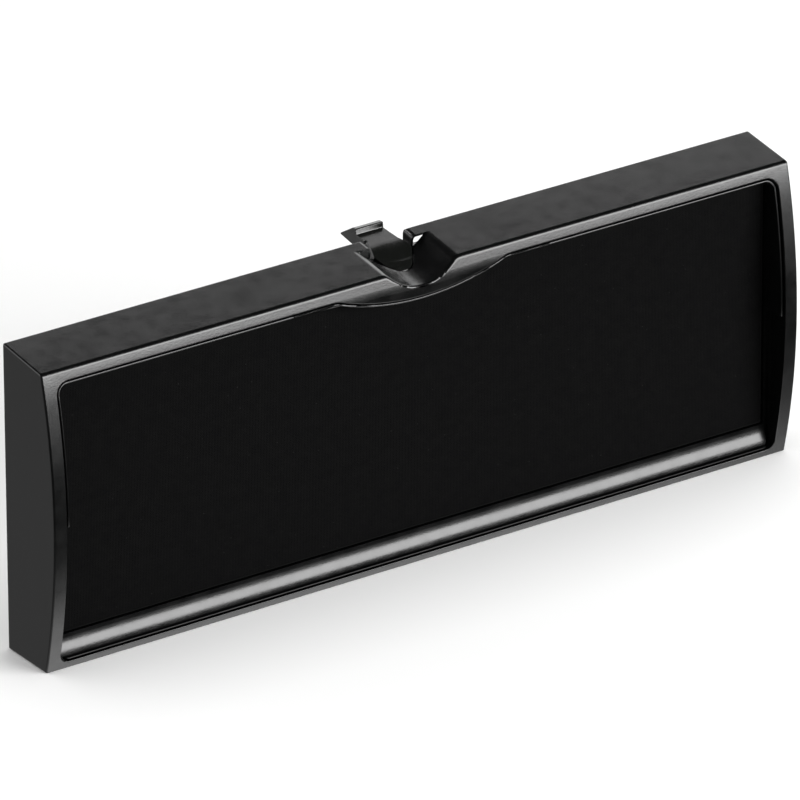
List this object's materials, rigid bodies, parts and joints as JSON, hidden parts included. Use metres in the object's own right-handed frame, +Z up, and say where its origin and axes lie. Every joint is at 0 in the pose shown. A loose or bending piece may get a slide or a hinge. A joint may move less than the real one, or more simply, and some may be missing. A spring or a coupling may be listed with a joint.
{
  "type": "ink pad cassette",
  "caption": "Bow-fronted black plastic cassette that holds a cloth-faced ink pad in a shallow tray and clips in place with a sprung thumb latch at its top edge.",
  "frame": {"origin": "on the ground under the middle of the object's bounding box", "axes": "+X along the cassette's length, +Y to the rear where the hook points, +Z up; the pad faces -Y"},
  "size_m": [0.176, 0.0272, 0.0654],
  "materials": {
    "housing_plastic": "black moulded plastic, satin with a fine spark-eroded grain",
    "tray_plastic": "black moulded plastic, semi-gloss",
    "pad_cloth": "fine cotton weave soaked in black ink, a little lint",
    "felt": "dense felt soaked in ink",
    "sponge": "open-cell foam soaked in ink",
    "cover_plastic": "black moulded plastic, matt",
    "latch_plastic": "glossy grey-black acetal",
    "steel": "zinc-plated steel"
  },
  "bodies": {
    "cassette": {"front_housing": "housing_plastic", "pad_tray": "tray_plastic", "pad_cloth": "pad_cloth", "pad_felt": "felt", "wick_left": "felt", "wick_center": "felt", "wick_right": "felt", "reservoir_sponge": "sponge", "rear_cover": "cover_plastic", "cover_screw_1": "steel", "cover_screw_2": "steel", "cover_screw_3": "steel", "cover_screw_4": "steel", "cover_screw_5": "steel", "cover_screw_6": "steel", "cover_screw_7": "steel", "cover_screw_8": "steel", "latch_pin": "steel", "latch_spring": "steel", "latch_bracket": "cover_plastic", "bracket_screw_left": "steel", "bracket_screw_right": "steel"},
    "latch": {"latch_lever": "latch_plastic"}
  },
  "joints": [
    {"name": "latch_press", "type": "hinge", "parent": "cassette", "child": "latch", "pos_m": [0, -0.00227, 0.0566], "axis": [-1, 0, 0], "range_deg": [0, 6], "stiffness_Nm_per_rad": 0.12, "springref_deg": -3.44, "deforming": ["latch_spring"]}
  ]
}
